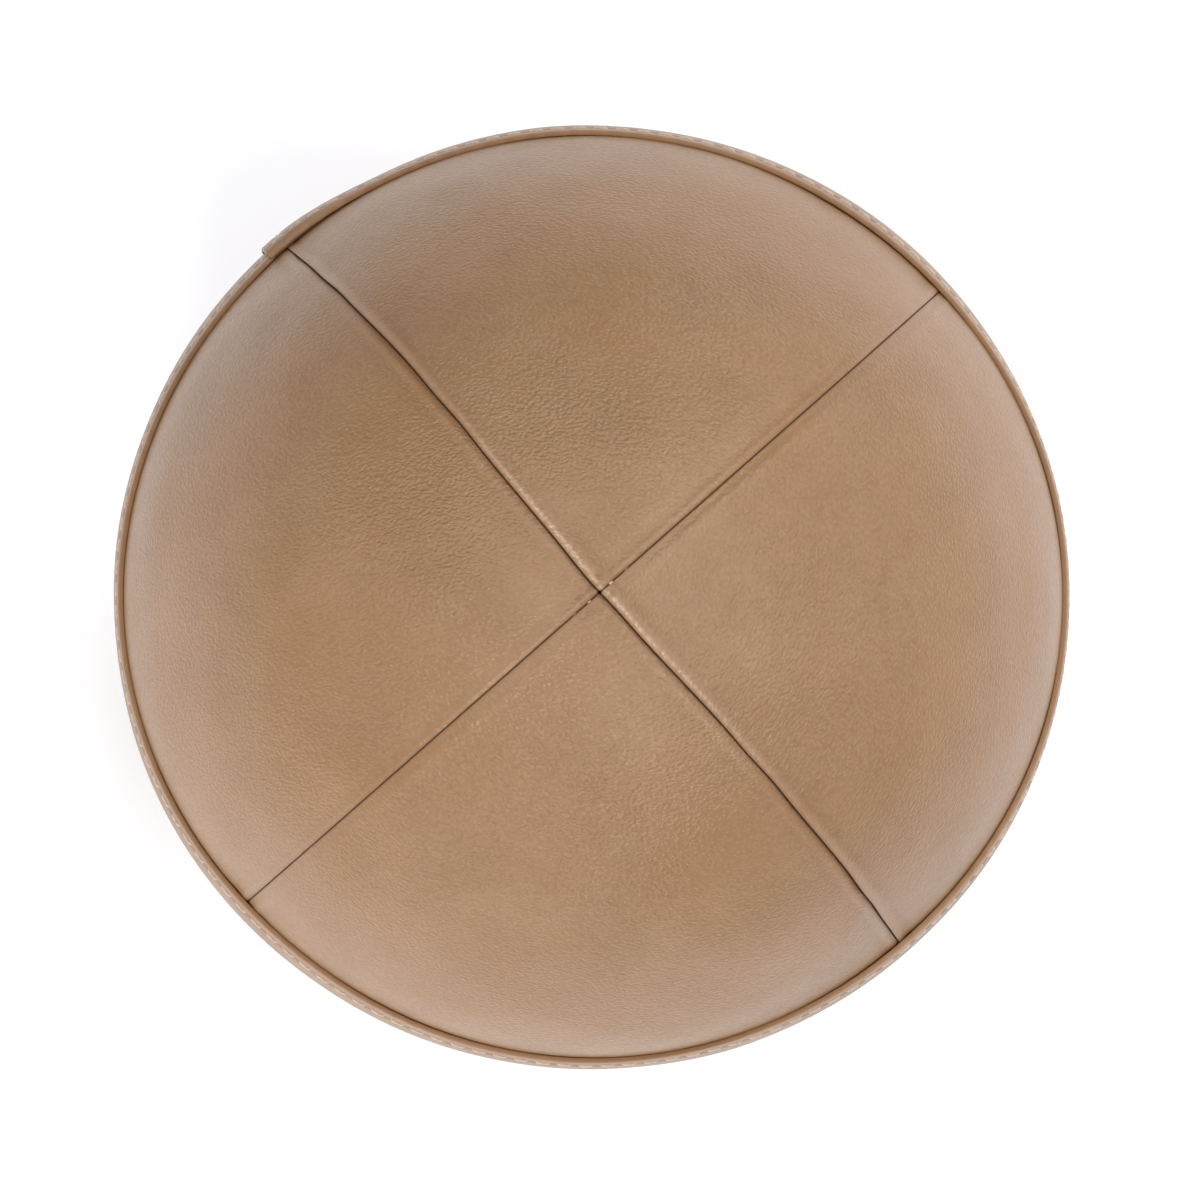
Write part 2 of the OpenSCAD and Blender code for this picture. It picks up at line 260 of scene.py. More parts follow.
def simulated_swell():
    """Blows up a cloth cover that is held along its seams, and maps how far each place swells, in mm."""
    bpy.ops.mesh.primitive_ico_sphere_add(subdivisions=6, radius=SKIN_R)
    cover = bpy.context.object
    cover.name = "cover_cloth"
    mesh = cover.data
    base = np.empty(len(mesh.vertices) * 3, np.float32)
    mesh.vertices.foreach_get("co", base)
    base = base.reshape(-1, 3).astype(float)
    away = seam_distance(unit(base))
    held = cover.vertex_groups.new(name="held")
    loose = cover.vertex_groups.new(name="loose")
    patches = 0.5 + 0.5 * waves(base, 24 * MM, 7)
    for i in range(len(base)):
        if away[i] < 2.4:
            held.add([i], 1.0, "REPLACE")
        loose.add([i], float(np.clip(patches[i] * math.exp(-away[i] / 16), 0, 1)), "REPLACE")
    cloth = cover.modifiers.new("cloth", "CLOTH")
    settings = cloth.settings
    settings.quality = 4
    settings.mass = 0.25
    settings.tension_stiffness = settings.compression_stiffness = 30
    settings.shear_stiffness = 15
    settings.bending_stiffness = 0.6
    settings.use_pressure = True
    settings.uniform_pressure_force = 4
    settings.effector_weights.gravity = 0
    settings.vertex_group_mass = "held"
    settings.vertex_group_shrink = "loose"
    settings.shrink_min, settings.shrink_max = 0.0, -0.10
    cloth.point_cache.frame_start, cloth.point_cache.frame_end = 1, SWELL_FRAMES
    for step in range(1, SWELL_FRAMES + 1):
        bpy.context.scene.frame_set(step)
    shape = cover.evaluated_get(bpy.context.evaluated_depsgraph_get()).data
    moved = np.empty(len(shape.vertices) * 3, np.float32)
    shape.vertices.foreach_get("co", moved)
    swell = (np.linalg.norm(moved.reshape(-1, 3), axis=1) - np.linalg.norm(base, axis=1)) / MM
    bpy.context.scene.frame_set(1)
    bpy.data.objects.remove(cover)
    bpy.data.meshes.remove(mesh)
    tree = KDTree(len(base))
    for i, point in enumerate(base):
        tree.insert(point, i)
    tree.balance()
    rows, columns = 181, 480
    grid = np.zeros((rows, columns))
    for r, lat in enumerate(np.radians(np.linspace(-90, 90, rows))):
        ring = max(6, int(columns * math.cos(lat)))
        row = []
        for lon in np.arange(ring) * TAU / ring:
            place = Vector((math.cos(lat) * math.cos(lon), math.cos(lat) * math.sin(lon), math.sin(lat)))
            near = tree.find_n(place * SKIN_R, 3)
            share = [1 / (gap + 0.5 * MM) for _, _, gap in near]
            row.append(sum(swell[i] * w for (_, i, _), w in zip(near, share)) / sum(share))
        grid[r] = np.interp(np.arange(columns) / columns * ring, np.arange(ring + 1), row + row[:1])
    return blurred(np.clip(grid * SWELL_SHARE, -0.5, 2.0), 2)


def at(d, radius):
    """Points in a direction, after the bow, at a radius."""
    top = np.where(d[..., 2:] > 0, bow(d), d)
    return CENTRE + top * np.asarray(radius)[..., None]


# ---- meshes ----

def make_piece(name, points, faces, material, slot, *nodes):
    mesh = bpy.data.meshes.new(name)
    mesh.from_pydata(np.asarray(points).tolist(), [], faces)
    mesh.polygons.foreach_set("use_smooth", [True] * len(mesh.polygons))
    mesh.update()
    mesh.materials.append(material)
    piece = bpy.data.objects.new(name, mesh)
    bpy.context.scene.collection.objects.link(piece)
    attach(piece, "root")
    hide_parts(*nodes)
    return piece


def set_attribute(piece, name, kind, values):
    attribute = piece.data.attributes.new(name, kind, "POINT")
    key = "vector" if kind == "FLOAT_VECTOR" else "value"
    attribute.data.foreach_set(key, np.asarray(values, np.float32).ravel())


def ring_faces(rings, count, first, closed_ends=True):
    """Quads between rings of count points each, numbered from first; optionally fans to both end points."""
    k = np.arange(count)
    nxt = (k + 1) % count
    faces = []
    for j in range(rings - 1):
        a = first + j * count
        b = a + count
        faces += np.stack([a + k, b + k, b + nxt, a + nxt], axis=1).tolist()
    if closed_ends:
        last = first + (rings - 1) * count
        faces += np.stack([np.full(count, first - 1), first + k, first + nxt], axis=1).tolist()
        faces += np.stack([np.full(count, last + count), last + nxt, last + k], axis=1).tolist()
    return faces


def capped_rings(rings, count):
    """Faces between rings numbered from 0, with one flat face over each end."""
    faces = ring_faces(rings, count, 0, closed_ends=False)
    faces.append(list(range(count))[::-1])
    faces.append(list(range((rings - 1) * count, rings * count)))
    return faces


# ---- octant pieces: panels, linings and pads ----

ONES = unit(np.ones(3))
SIDE_A = unit(np.array([1.0, -1, 0]))
SIDE_B = np.cross(ONES, SIDE_A)


def inset_of(d, corner):
    """Distance in from the edge of the octant, in mm, where its corners are rounded."""
    s = SKIN_R / MM * np.arcsin(np.clip(d, -1, 1))
    over = np.linalg.norm(np.maximum(corner - s, 0), axis=-1)
    least = s.min(axis=-1)
    return np.where(least >= corner, least, corner - over)


def rays(angles):
    return np.cos(angles)[:, None] * SIDE_A + np.sin(angles)[:, None] * SIDE_B


def ring_directions(inset, corner, angles):
    """For each ray from the octant's middle, the direction that lies inset mm in from its edge."""
    side = rays(angles)
    low = np.zeros(len(angles))
    high = np.full(len(angles), math.radians(60))
    for _ in range(34):
        mid = (low + high) / 2
        d = np.cos(mid)[:, None] * ONES + np.sin(mid)[:, None] * side
        inside = inset_of(d, corner) > inset
        low = np.where(inside, mid, low)
        high = np.where(inside, high, mid)
    return np.cos(low)[:, None] * ONES + np.sin(low)[:, None] * side


def even_angles(count, inset, corner):
    """Ray angles that space the edge's points evenly."""
    fine = np.linspace(0, TAU, 3001)
    edge = ring_directions(inset, corner, fine)
    run = np.concatenate([[0], np.cumsum(np.linalg.norm(np.diff(edge, axis=0), axis=1))])
    return np.interp(np.linspace(0, run[-1], count + 1)[:-1], run, fine)


def levels(start, step, growth, largest, end):
    """Insets from the edge to the middle, in mm: close together at the edge."""
    out = [start]
    while out[-1] + step < end:
        out.append(out[-1] + step)
        step = min(step * growth, largest)
    return out


FOLD = 1.5  # radius of the leather's turn into a seam, in mm


def panel_profile():
    """(inset, depth) in mm from the middle of a panel's face, round its fold, to the middle of its back."""
    t, gap = LEATHER_T / MM, SEAM_GAP / MM
    flange = FLANGE / MM
    face = levels(gap + FOLD, 0.35, 1.16, 3.2, 83)
    turn = np.radians(np.linspace(0, 90, 11))[1:]
    profile = [(s, 0) for s in reversed(face)]
    profile += [(gap + FOLD * (1 - math.sin(a)), FOLD * (1 - math.cos(a))) for a in turn]
    profile += [(gap, h) for h in np.linspace(FOLD, flange, 6)[1:]]
    profile += [(gap + 0.2, flange + 0.15), (gap + t - 0.2, flange + 0.15)]
    profile += [(gap + t, h) for h in np.linspace(flange, t + 0.4, 5)]
    profile += [(gap + t + 0.12, t + 0.12)]
    profile += [(s, t) for s in face[::2] if s > gap + t + 0.5]
    return profile


def slab_profile(inset, depth, thickness, corner):
    """(inset, depth) in mm of a plain layer with rounded edges."""
    face = levels(inset + corner, max(corner, 1.0), 1.3, 4.0, 83)
    turn = np.radians(np.linspace(0, 90, 5))[1:]
    profile = [(s, depth) for s in reversed(face)]
    profile += [(inset + corner * (1 - math.sin(a)), depth + corner * (1 - math.cos(a))) for a in turn]
    deep = depth + thickness
    profile += [(inset, h) for h in np.linspace(depth + corner, deep - corner, 5)[1:]]
    profile += [(inset + corner * (1 - math.cos(a)), deep - corner * (1 - math.sin(a))) for a in turn]
    profile += [(s, deep) for s in face[1:]]
    return profile


class Octant:
    """The shared layout of a piece that repeats in all eight octants: its directions and faces."""

    def __init__(self, profile, count, corner):
        angles = even_angles(count, min(inset for inset, _ in profile), corner)
        found = {s: ring_directions(s, corner, angles) for s in {p[0] for p in profile}}
        rings = [found[s] for s, _ in profile]
        self.local = np.concatenate([ONES[None], *rings, ONES[None]])
        self.depth = np.concatenate([
            [profile[0][1]], np.repeat([h for _, h in profile], count), [profile[-1][1]]
        ]) * MM
        self.inset = np.concatenate([
            [85.0], np.repeat([s for s, _ in profile], count), [85.0]
        ])
        self.faces = ring_faces(len(profile), count, 1)

    def place(self, half, quarter):
        """World directions and faces of one of the eight."""
        sign = HALVES[half]
        turn = 90 * QUARTERS.index(quarter)
        axes = np.stack([heading(turn - 45), heading(turn + 45), [0, 0, sign]])
        faces = self.faces if sign < 0 else [f[::-1] for f in self.faces]
        return self.local @ axes, faces


GRAIN_LEAN = {"right": 15, "rear": 10, "left": 82, "front": 12}  # of the leather's grain, in degrees


def panel_coordinates(d, half, quarter):
    """Flat coordinates on a panel in mm, turned so that the grain runs its own way on each."""
    sign = HALVES[half]
    turn = 90 * QUARTERS.index(quarter)
    middle = unit(heading(turn) * math.sqrt(2) + [0, 0, sign])
    across = unit(np.cross(UP, middle))
    along = np.cross(middle, across)
    u = plane_distance(d, across)
    v = plane_distance(d, along)
    lean = math.radians(GRAIN_LEAN[quarter])
    seed = 300.0 * (QUARTERS.index(quarter) + (4 if sign < 0 else 0))
    return np.stack([
        u * math.cos(lean) - v * math.sin(lean),
        u * math.sin(lean) + v * math.cos(lean),
        np.full_like(u, seed),
    ], axis=-1)


def grain_strength(d, inset):
    """Where the leather's grain stands out: away from the band, and beside the seams."""
    from_pole = pole_distance(d)
    middle = smooth((from_pole - 12) / 25) * (1 - smooth((from_pole - 75) / 65))
    patches = 0.75 + 0.35 * waves(d * SKIN_R, 55 * MM, 11)
    return np.clip(0.60 + 0.45 * middle * patches, 0.4, 1.1) * (0.6 + 0.4 * smooth((inset - 1.5) / 5))


def painted_lip_highlight_mask(d):
    """Where a painted highlight lies on the main seam's upper lip: a narrow strip that fades away from the
    crossing.
    """
    return bell(plane_distance(d, MAIN_SEAM), 1.25, 0.75) * np.exp(-(pole_distance(d) / 60) ** 2)


def folded(d, depth, inset):
    """The profile's depth, with each seam's own turn."""
    main, other = plane_distance(d, MAIN_SEAM), plane_distance(d, CROSS_SEAM)
    level = np.abs(plane_distance(d, UP))
    radius = np.where(main > 0, MAIN_SIDES[0][2], MAIN_SIDES[1][2])
    cross = np.where(other > 0, CROSS_SIDES[0][2], CROSS_SIDES[1][2])
    tight = smooth((np.abs(main) - np.minimum(np.abs(other), level)) / 1.5 + 0.5)
    radius = radius + (cross - radius) * tight
    reach = np.clip((radius - inset + SEAM_GAP / MM) / radius, 0, 1)
    turned = radius * (1 - np.sqrt(1 - reach ** 2)) * MM
    return np.where(depth < FOLD * MM * 0.999, np.minimum(turned, depth), depth)


def leather_panels(material):
    layout = Octant(panel_profile(), 840, 0.5)
    for half in HALVES:
        for quarter in QUARTERS:
            d, faces = layout.place(half, quarter)
            points = at(d, skin_radius(d) - folded(d, layout.depth, layout.inset))
            piece = make_piece(
                f"panel_{half}_{quarter}", points, faces, material, "panel_leather",
                f"leather_panel_{half}_{quarter}",
            )
            set_attribute(piece, "grain", "FLOAT_VECTOR", panel_coordinates(d, half, quarter))
            set_attribute(piece, "relief", "FLOAT", grain_strength(d, layout.inset))
            inside = layout.depth / MM
            # seam: the mask of the seams' painted shade, at each panel's edge and deeper down its fold
            set_attribute(piece, "seam", "FLOAT", np.exp(-layout.inset / 0.45) + 0.5 * smooth(inside / 2))
            # where the painted highlight on the main seam's upper lip goes
            set_attribute(piece, "painted_lip_highlight", "FLOAT", painted_lip_highlight_mask(d))


# ---- the equator band ----

def band_half_width(az):
    """Half the band's width, which waves round the ball, as it was cut and stretched by hand."""
    a = np.radians(az)
    wave = -1.1
    for k, (c, s) in enumerate(EDGE_WAVES, 1):
        wave = wave + c * np.cos(k * a) + s * np.sin(k * a)
    hidden = 1 - smooth((az - LAP_END + 1) / 3)
    return BAND_HALF + (wave - 1.3 * hidden) * MM


def lap_lift(turned):
    """How far the strip is lifted by the end below it; turned is the azimuth along the strip."""
    begin = LAP_END + 360 - LAP_RAMP - 3
    return (BAND_T + 0.05 * MM) * smooth((turned - begin) / LAP_RAMP)


def edge_drop(across):
    """How much of that lift the strip's edges keep, as they bend back down to the leather."""
    return 1 - 0.6 * smooth((np.abs(across) - BAND_HALF + 1.7 * MM) / (1.7 * MM))


def strip_thickness(turned):
    """The strip's thickness, skived at its hidden end."""
    hidden = LAP_END - LAP_OVER
    return BAND_T * (0.2 + 0.8 * smooth((turned - hidden) / 9))


def band_point(turned, across, height):
    """A point on the strip: across is its distance from the middle, height from its inner face."""
    az = np.radians(turned)
    z = across * band_half_width(turned) / BAND_HALF
    level = np.sqrt(np.maximum(SKIN_R ** 2 - z ** 2, 0))
    d = np.stack([level * np.cos(az), level * np.sin(az), z + 0 * az], axis=-1) / SKIN_R
    radius = round_radius(d) + 0.10 * MM * waves(d * SKIN_R, 60 * MM, 21)
    return CENTRE + d * (radius + height + lap_lift(turned) * edge_drop(across))[..., None]


def stitch_phase(turned):
    """Where a place on the strip is between two stitches: 0 in the middle of one, 0.5 between two."""
    return ((LAP_END - turned) * STITCHES / 360 - 0.75) % 1


def band_section():
    """(across, height) round the strip's section, height as a share of its thickness."""
    half = BAND_HALF / MM
    row = half - STITCH_INSET / MM
    close = [row + x for x in (-2.6, -1.7, -1.1, -0.7, -0.35, 0, 0.35, 0.7, 1.1, 1.7, 2.4, 3.2, 3.9)]
    outer = sorted([-x for x in close] + list(np.linspace(-row + 6, row - 6, 9)) + close)
    bend = []  # a cut edge with its corners rubbed round
    for a in np.radians(np.linspace(90, -90, 15)):
        bend.append((math.cos(a) ** 0.5, math.copysign(abs(math.sin(a)) ** 0.6, math.sin(a))))
    r = 0.45
    section = [(x, 1.0) for x in outer]
    section += [(half - r + r * c, 0.5 + 0.5 * s) for c, s in bend]
    section += [(x, 0.0) for x in np.linspace(half - 4, -half + 4, 7)]
    section += [(-half + r - r * c, 0.5 + 0.5 * s) for c, s in reversed(bend)]
    return np.array(section)


def band_relief(across, phase):
    """What stitching does to the strip's outer face, in mm."""
    row = (BAND_HALF - STITCH_INSET) / MM
    off = np.abs(across) - row
    hole = np.minimum(phase, 1 - phase)  # 0 in a stitch's middle, 0.5 between two
    pull = np.exp(-((hole - 0.5) / 0.16) ** 2)
    groove = -0.34 * np.exp(-(off / 0.9) ** 2) - 0.20 * pull * np.exp(-(off / 0.7) ** 2)
    bead = 0.14 * np.exp(-((off - 2.3) / 1.1) ** 2) * (1 - 0.55 * pull)
    inner_bead = 0.10 * np.exp(-((off + 2.4) / 1.6) ** 2) * (1 - 0.5 * pull)
    return groove + bead + inner_bead


def equator_band(material):
    section = band_section()
    start, stop = LAP_END - LAP_OVER, LAP_END + 360
    step = 360 / STITCHES / 10
    turned = np.append(np.arange(start, stop - step, step), stop)
    t_grid, x_grid = turned[:, None], section[None, :, 0]
    phase = stitch_phase(t_grid)
    outer = smooth((section[None, :, 1] - 0.5) / 0.5)
    pull_in = 0.10 * np.cos(TAU * phase) * smooth((np.abs(x_grid) - BAND_HALF / MM + 6) / 5)
    across = (x_grid + np.sign(x_grid) * pull_in) * MM
    thick = strip_thickness(t_grid)
    end_row = np.exp(-((stop - t_grid) * SKIN_R / MM * TAU / 360 - 5.6) ** 2 / 0.8)
    height = thick * section[None, :, 1] + outer * (band_relief(x_grid, phase) - 0.34 * end_row) * MM
    points = band_point(np.broadcast_to(t_grid, height.shape), across, height)
    rings, count = height.shape
    # the hidden end is closed by one smaller ring, and the visible one is rounded by two
    first, last = points[0], points[-1]
    first_ahead = unit(first.mean(axis=0) - points[2].mean(axis=0))
    last_ahead = unit(unit(last - points[-3]).mean(axis=0))
    flat_mid = band_point(np.full(count, stop), across[0], np.full(count, BAND_T / 2))
    begin_mid = band_point(np.full(count, start), across[0], np.full(count, 0.1 * BAND_T))
    nose = [
        last * 0.6 + flat_mid * 0.4 + last_ahead * 0.45 * MM,
        last * 0.15 + flat_mid * 0.85 + last_ahead * 0.7 * MM,
    ]
    tail = [begin_mid + first_ahead * 0.3 * MM]
    points = np.concatenate([*tail, points.reshape(-1, 3), *nose])
    faces = [f[::-1] for f in capped_rings(rings + len(tail) + len(nose), count)]
    piece = make_piece("band", points, faces, material, "band_leather", "equator_band")
    reach = np.concatenate([[start], turned, [stop, stop]])[:, None] * SKIN_R / MM * TAU / 360
    strip = np.stack(np.broadcast_arrays(reach, x_grid, section[None, :, 1]), axis=-1)
    set_attribute(piece, "grain", "FLOAT_VECTOR", strip)
    edge = 1 - smooth((BAND_HALF / MM - np.abs(x_grid)) / 1.1)
    set_attribute(piece, "edge", "FLOAT", np.broadcast_to(edge, strip.shape[:2]))


# ---- threads ----

def dashes(name, slot, material, node, places, thickness, dive=1.2 * MM, plies=3):
    """Stitches as twisted threads: each place is (middle, along, outward, length)."""
    sides, rings = 12, 25
    u = np.linspace(-1, 1, rings)
    around = circle(sides)
    middle, along, outward, length = (np.array(x) for x in zip(*places))
    along, outward = unit(along), unit(outward)
    side = unit(np.cross(along, outward))
    rise = thickness * 0.28 - dive * np.abs(u) ** 6
    slope = np.gradient(rise, u)
    half = length[:, None] / 2
    line = (middle[:, None] + along[:, None] * (half * u)[..., None]
            + outward[:, None] * rise[None, :, None])
    tangent = unit(along[:, None] * half[..., None] + outward[:, None] * slope[None, :, None])
    lift = unit(np.cross(np.broadcast_to(side[:, None], tangent.shape), tangent))
    twist = half * (u + 1) / (2.6 * thickness) * TAU / plies
    lobes = 0.88 + 0.12 * np.cos(plies * (around[None, None] - twist[..., None]))
    taper = 1 - 0.35 * np.abs(u) ** 8
    radius = thickness / 2 * lobes * taper[None, :, None]
    ring = (side[:, None, None] * np.cos(around)[None, None, :, None]
            + lift[:, :, None] * np.sin(around)[None, None, :, None])
    points = line[:, :, None] + radius[..., None] * ring
    faces = []
    size = rings * sides
    one = [np.array(f) for f in capped_rings(rings, sides)]
    for i in range(len(places)):
        faces += [(f + i * size).tolist() for f in one]
    return make_piece(name, points.reshape(-1, 3), faces, material, slot, node)


def band_stitches(material):
    row = BAND_HALF - STITCH_INSET
    length = 0.71 * TAU * (SKIN_R + BAND_T) / STITCHES
    for node, side in (("band_stitch_upper", 1), ("band_stitch_lower", -1)):
        places = []
        for i in range(STITCHES):
            turned = LAP_END + 360 - (i + 0.75) * 360 / STITCHES
            near = np.array([turned - 0.5, turned, turned + 0.5])
            p = band_point(near, side * row, BAND_T - ROW_SUNK)
            wobble = 0.10 * MM * math.sin(i * 2.4)
            places.append((p[1] + [0, 0, wobble], p[2] - p[0], p[1] - CENTRE, length))
        dashes(node + "_thread", "topstitch_thread", material, node, places, THREAD_D)
    turned = LAP_END + 360 - LAP_ROW_FROM_END
    count = 8
    places = []
    for i in range(count):
        x = row * (2 * (i + 0.5) / count - 1)
        p = band_point(np.full(3, turned), np.array([x - MM, x, x + MM]), BAND_T - LAP_ROW_SUNK)
        places.append((p[1], p[2] - p[0], p[1] - CENTRE, length))
    dashes("band_stitch_lap_thread", "topstitch_thread", material, "band_stitch_lap", places, THREAD_D)


# ---- layers inside the leather ----

def layers(node, name, material, slot, depth, thickness, corner):
    """The eight pieces of one layer, which follow the leather's shape."""
    layout = Octant(slab_profile(LINING_IN / MM, depth / MM, thickness / MM, corner), 300, 2.0)
    for half in HALVES:
        for quarter in QUARTERS:
            d, faces = layout.place(half, quarter)
            slack = 0.06 * MM * (waves(d * SKIN_R, 18 * MM, 31) - 2.5)
            points = at(d, skin_radius(d, detail=False) - layout.depth + slack)
            piece = make_piece(f"{name}_{half}_{quarter}", points, faces, material, slot,
                               f"{node}_{half}_{quarter}")
            set_attribute(piece, "grain", "FLOAT_VECTOR", panel_coordinates(d, half, quarter))


def half_piece(name, rings, sign, material, slot, node):
    """A closed piece from rings of points, the first and last of which are its two middles."""
    count = len(rings[0])
    first, last = np.mean(rings[0], axis=0), np.mean(rings[-1], axis=0)
    points = np.concatenate([first[None], *rings[1:-1], last[None]])
    faces = ring_faces(len(rings) - 2, count, 1)
    faces = faces if sign < 0 else [f[::-1] for f in faces]
    return make_piece(name, points, faces, material, slot, node)


def circle_directions(latitude, around, sign):
    lat = math.radians(latitude)
    flat = math.cos(lat)
    return np.stack([flat * np.cos(around), flat * np.sin(around),
                     np.full_like(around, sign * math.sin(lat))], axis=-1)


def flat_ring(radius, z, around):
    radius = radius + 0 * around
    return CENTRE + np.stack([radius * np.cos(around), radius * np.sin(around), z + 0 * around], axis=-1)


def bag_ripple(around):
    """How the bag's allowance ripples up and down at its outer edge."""
    return 0.35 * MM * np.sin(9 * around) + 0.25 * MM * np.sin(23 * around + 1)


def liner_bag(material):
    """Two canvas bowls, sewn together through allowances that turn outwards between the pads."""
    count = 480
    around = circle(count)
    ripple = bag_ripple(around)
    for node, sign in (("liner_bag_upper", 1), ("liner_bag_lower", -1)):
        def wall(latitude, depth):
            d = circle_directions(latitude, around, sign)
            crease = 0.16 * MM * waves(d * SKIN_R, 14 * MM, 41)
            return CENTRE + d * (skin_radius(d, detail=False) - depth - 0.3 * MM + crease)[:, None]

        latitudes = list(np.linspace(90, 3, 44))
        rim = np.linalg.norm((wall(0, BAG_DEPTH) - CENTRE)[:, :2], axis=1)
        out = [wall(a, BAG_DEPTH) for a in latitudes]
        out += [flat_ring(rim + x * MM, sign * 0.85 * MM + ripple * x / 8, around) for x in (1.0, 4, 7.6)]
        out += [flat_ring(rim + 8 * MM, sign * 0.45 * MM + ripple, around)]
        out += [flat_ring(rim + x * MM, sign * 0.06 * MM + ripple * max(x, 0) / 8, around)
                for x in (7.6, 4, 1, -0.4)]
        out += [wall(a, BAG_DEPTH + BAG_T) for a in reversed(latitudes)]
        half_piece(node.replace("liner_", ""), out, sign, material, "bag_canvas", node)


def fibre_fill(material):
    """Two lumpy bowls of packed fibre round the sand pouch; the upper one is open at the neck."""
    count = 420
    around = circle(count)
    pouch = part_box("ballast_pouch")
    cavity = (pouch[1].x - pouch[0].x) / 2 + 0.6 * MM
    neck_top = pouch[1].z - CENTRE[2] + 2 * MM
    for node, sign in (("fibre_fill_upper", 1), ("fibre_fill_lower", -1)):
        def outside(latitude):
            d = circle_directions(latitude, around, sign)
            tuft = 0.5 * waves(d * SKIN_R, 26 * MM, 51) + 0.3 * waves(d * SKIN_R, 9 * MM, 52)
            return CENTRE + d * (skin_radius(d, detail=False) - FILL_DEPTH - 1.6 * MM + tuft * MM)[:, None]

        def inside(latitude):
            d = circle_directions(latitude, around, sign)
            tuft = 0.4 * (1 + waves(d * cavity, 8 * MM, 53)).clip(0)
            return CENTRE + d * (cavity + tuft * MM)[:, None]

        rim = np.linalg.norm((outside(0) - CENTRE)[:, :2], axis=1)
        out = [outside(a) for a in np.linspace(90, 1.5, 50)]
        for share in np.linspace(0.02, 0.98, 9):
            level = sign * 0.1 * MM
            out.append(flat_ring(rim * (1 - share) + cavity * share, level, around))
        if sign > 0:
            stop = math.degrees(math.acos(15 * MM / cavity))
            out += [inside(a) for a in np.linspace(2, stop, 24)]
            start = cavity * math.sin(math.radians(stop))
            for z in np.linspace(start + MM, neck_top, 8):
                out.append(flat_ring(15 * MM + 0.3 * MM * np.sin(7 * around + 900 * z), z, around))
            out += [flat_ring(x * MM, neck_top + 0.4 * MM, around) for x in (12, 6, 0)]
        else:
            out += [inside(a) for a in np.linspace(2, 90, 30)]
        piece = half_piece(node.replace("fibre_", ""), out, sign, material, "textile_fibre", node)


def ballast(canvas, grains, cord):
    """The sand pouch with its pleated, tied neck, the sand in it, and the cord."""
    count = 480
    around = circle(count)
    low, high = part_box("ballast_pouch")
    ball, top = (high.x - low.x) / 2, high.z - CENTRE[2]
    tie_low, tie_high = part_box("ballast_tie")
    tie_z = (tie_low.z + tie_high.z) / 2 - CENTRE[2]
    pleats = 0.5 + 0.5 * np.cos(26 * around + 0.7 * np.sin(3 * around))
    out = []

    def bellied(latitude, radius, drawn):
        """A ring of the pouch's belly; drawn is how far the pleats cut in there."""
        d = circle_directions(latitude, around, 1)
        slack = 0.25 * MM * waves(d * ball, 16 * MM, 61) - 0.35 * MM
        return CENTRE + d * (radius + slack - drawn * pleats)[:, None]

    neck = [(13.5, 44.5, 2.2), (11.8, 47.5, 2.6), (10.6, 50.0, 2.4), (9.6, tie_z / MM, 1.6),
            (10.0, 55.5, 2.4), (10.9, 58.5, 3.0), (11.0, top / MM - 0.5, 3.2)]
    start = math.degrees(math.acos(16.5 * MM / ball))
    for a in np.linspace(-90, start, 60):
        out.append(bellied(a, ball, 1.9 * MM * smooth((a - 30) / 40)))
    out += [flat_ring(r * MM - cut * MM * pleats, z * MM, around) for r, z, cut in neck]
    rim = top - 0.1 * MM
    out += [flat_ring((10.2 - 3.0 * pleats) * MM, rim, around), flat_ring(3.2 * MM, rim, around)]
    inner_top = ball - 1.4 * MM
    out += [flat_ring(2.6 * MM, z, around) for z in np.linspace(rim - 0.8 * MM, inner_top, 8)]
    for a in np.linspace(86, -90, 50):
        out.append(bellied(a, inner_top, 0))
    piece = half_piece("sand_pouch", out, -1, canvas, "bag_canvas", "ballast_pouch")

    sand_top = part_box("ballast_sand")[1].z - CENTRE[2]
    heap = []
    for a in np.linspace(-90, math.degrees(math.asin(sand_top / inner_top)) - 3, 50):
        heap.append(bellied(a, inner_top - 0.5 * MM, 0))
    rim_r = np.linalg.norm((heap[-1] - CENTRE)[:, :2], axis=1)
    for share in (0.9, 0.75, 0.6, 0.45, 0.3, 0.15, 0):
        place = flat_ring(rim_r * share, 0.0, around)
        z = sand_top - 2.2 * MM * share ** 2 + 0.25 * MM * waves(place, 9 * MM, 71)
        heap.append(flat_ring(rim_r * share, z - 0.5 * MM, around))
    half_piece("sand", heap, -1, grains, "sand", "ballast_sand")

    turns, steps = 2.3, 420
    t = np.linspace(0, turns * TAU, steps)
    thick = (tie_high.z - tie_low.z) / 2
    radius = (tie_high.x - tie_low.x) / 2 - thick / 2
    end = np.clip((t - (turns - 0.12) * TAU) / (0.12 * TAU), 0, 1)
    path = np.stack([(radius + 1.5 * MM * end) * np.cos(t), (radius + 1.5 * MM * end) * np.sin(t),
                     CENTRE[2] + tie_z + (t / TAU - turns / 2) * thick * 0.98], axis=-1)
    tube("tie_cord", path, thick, cord, "tie_cord", "ballast_tie")


def tube(name, path, thickness, material, slot, *nodes, sides=24, plies=3):
    """A twisted cord along an open path."""
    tangent = unit(np.gradient(path, axis=0))
    side = unit(np.cross(tangent, UP))
    lift = np.cross(side, tangent)
    run = np.concatenate([[0], np.cumsum(np.linalg.norm(np.diff(path, axis=0), axis=1))])
    around = circle(sides)
    twist = run[:, None] / (3 * thickness) * TAU / plies
    radius = thickness / 2 * (0.88 + 0.12 * np.cos(plies * (around - twist)))
    points = (path[:, None] + radius[..., None] * (side[:, None] * np.cos(around)[None, :, None]
              + lift[:, None] * np.sin(around)[None, :, None]))
    faces = capped_rings(len(path), sides)
    return make_piece(name, points.reshape(-1, 3), faces, material, slot, *nodes)


# ---- hidden seams ----

SEAM_DEPTH = 3 * MM
SEAM_PITCH = 6 * MM
FACE_OFF = 2.0 * MM  # from a seam's plane to the thread on a flange
SEAM_STITCH = 0.7 * SEAM_PITCH
HAND_SEWN = (135.0, -60.0, -12.0)  # azimuth and latitudes of the seam closed by hand


